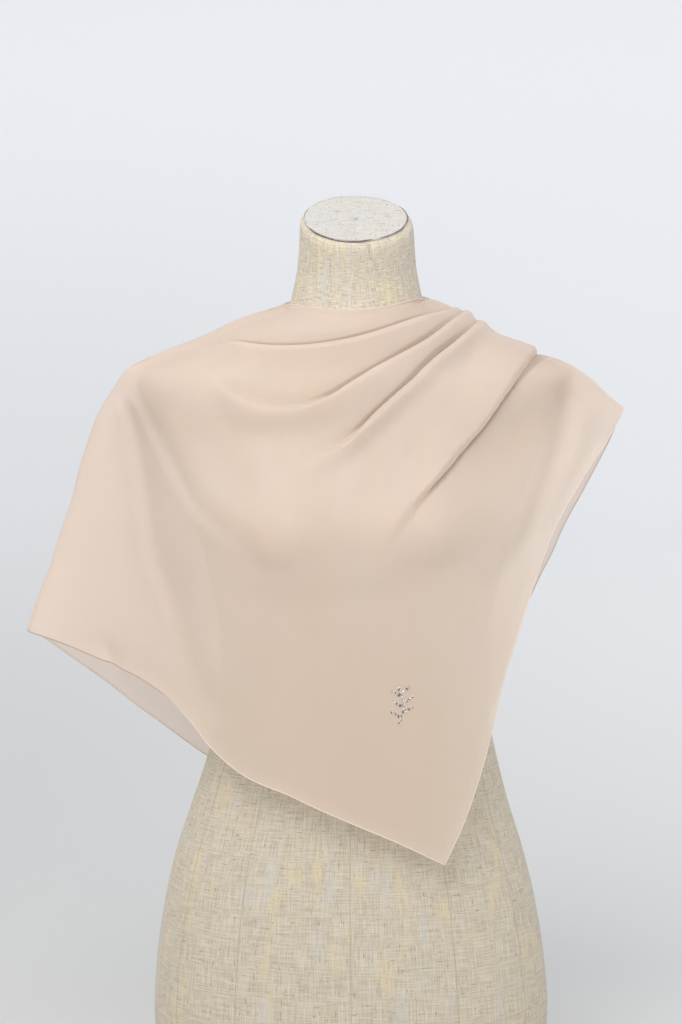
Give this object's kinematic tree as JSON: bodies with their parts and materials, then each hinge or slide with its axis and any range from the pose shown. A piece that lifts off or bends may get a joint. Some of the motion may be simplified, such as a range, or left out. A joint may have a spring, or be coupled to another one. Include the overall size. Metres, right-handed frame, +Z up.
{
  "type": "chiffon shawl on dress form",
  "caption": "Thin one-seam chiffon shawl draped over the shoulders of a limbless linen dress form that stands on its flat underside.",
  "frame": {"origin": "middle of the dress form's flat underside, on its upright axis", "axes": "+Z is up along the dress form, the shawl's front faces -Y and its closed fold hangs at -X"},
  "size_m": [0.5189, 0.2498, 0.7986],
  "materials": {
    "chiffon": "pale pink-beige crepe chiffon, soft sheen",
    "linen": "undyed slub linen, matt",
    "cap_cloth": "off-white slub cotton, matt"
  },
  "bodies": {
    "root": {"shawl_front": "chiffon", "shawl_back": "chiffon", "form_body": "linen", "form_neck_cap": "cap_cloth"}
  },
  "joints": []
}
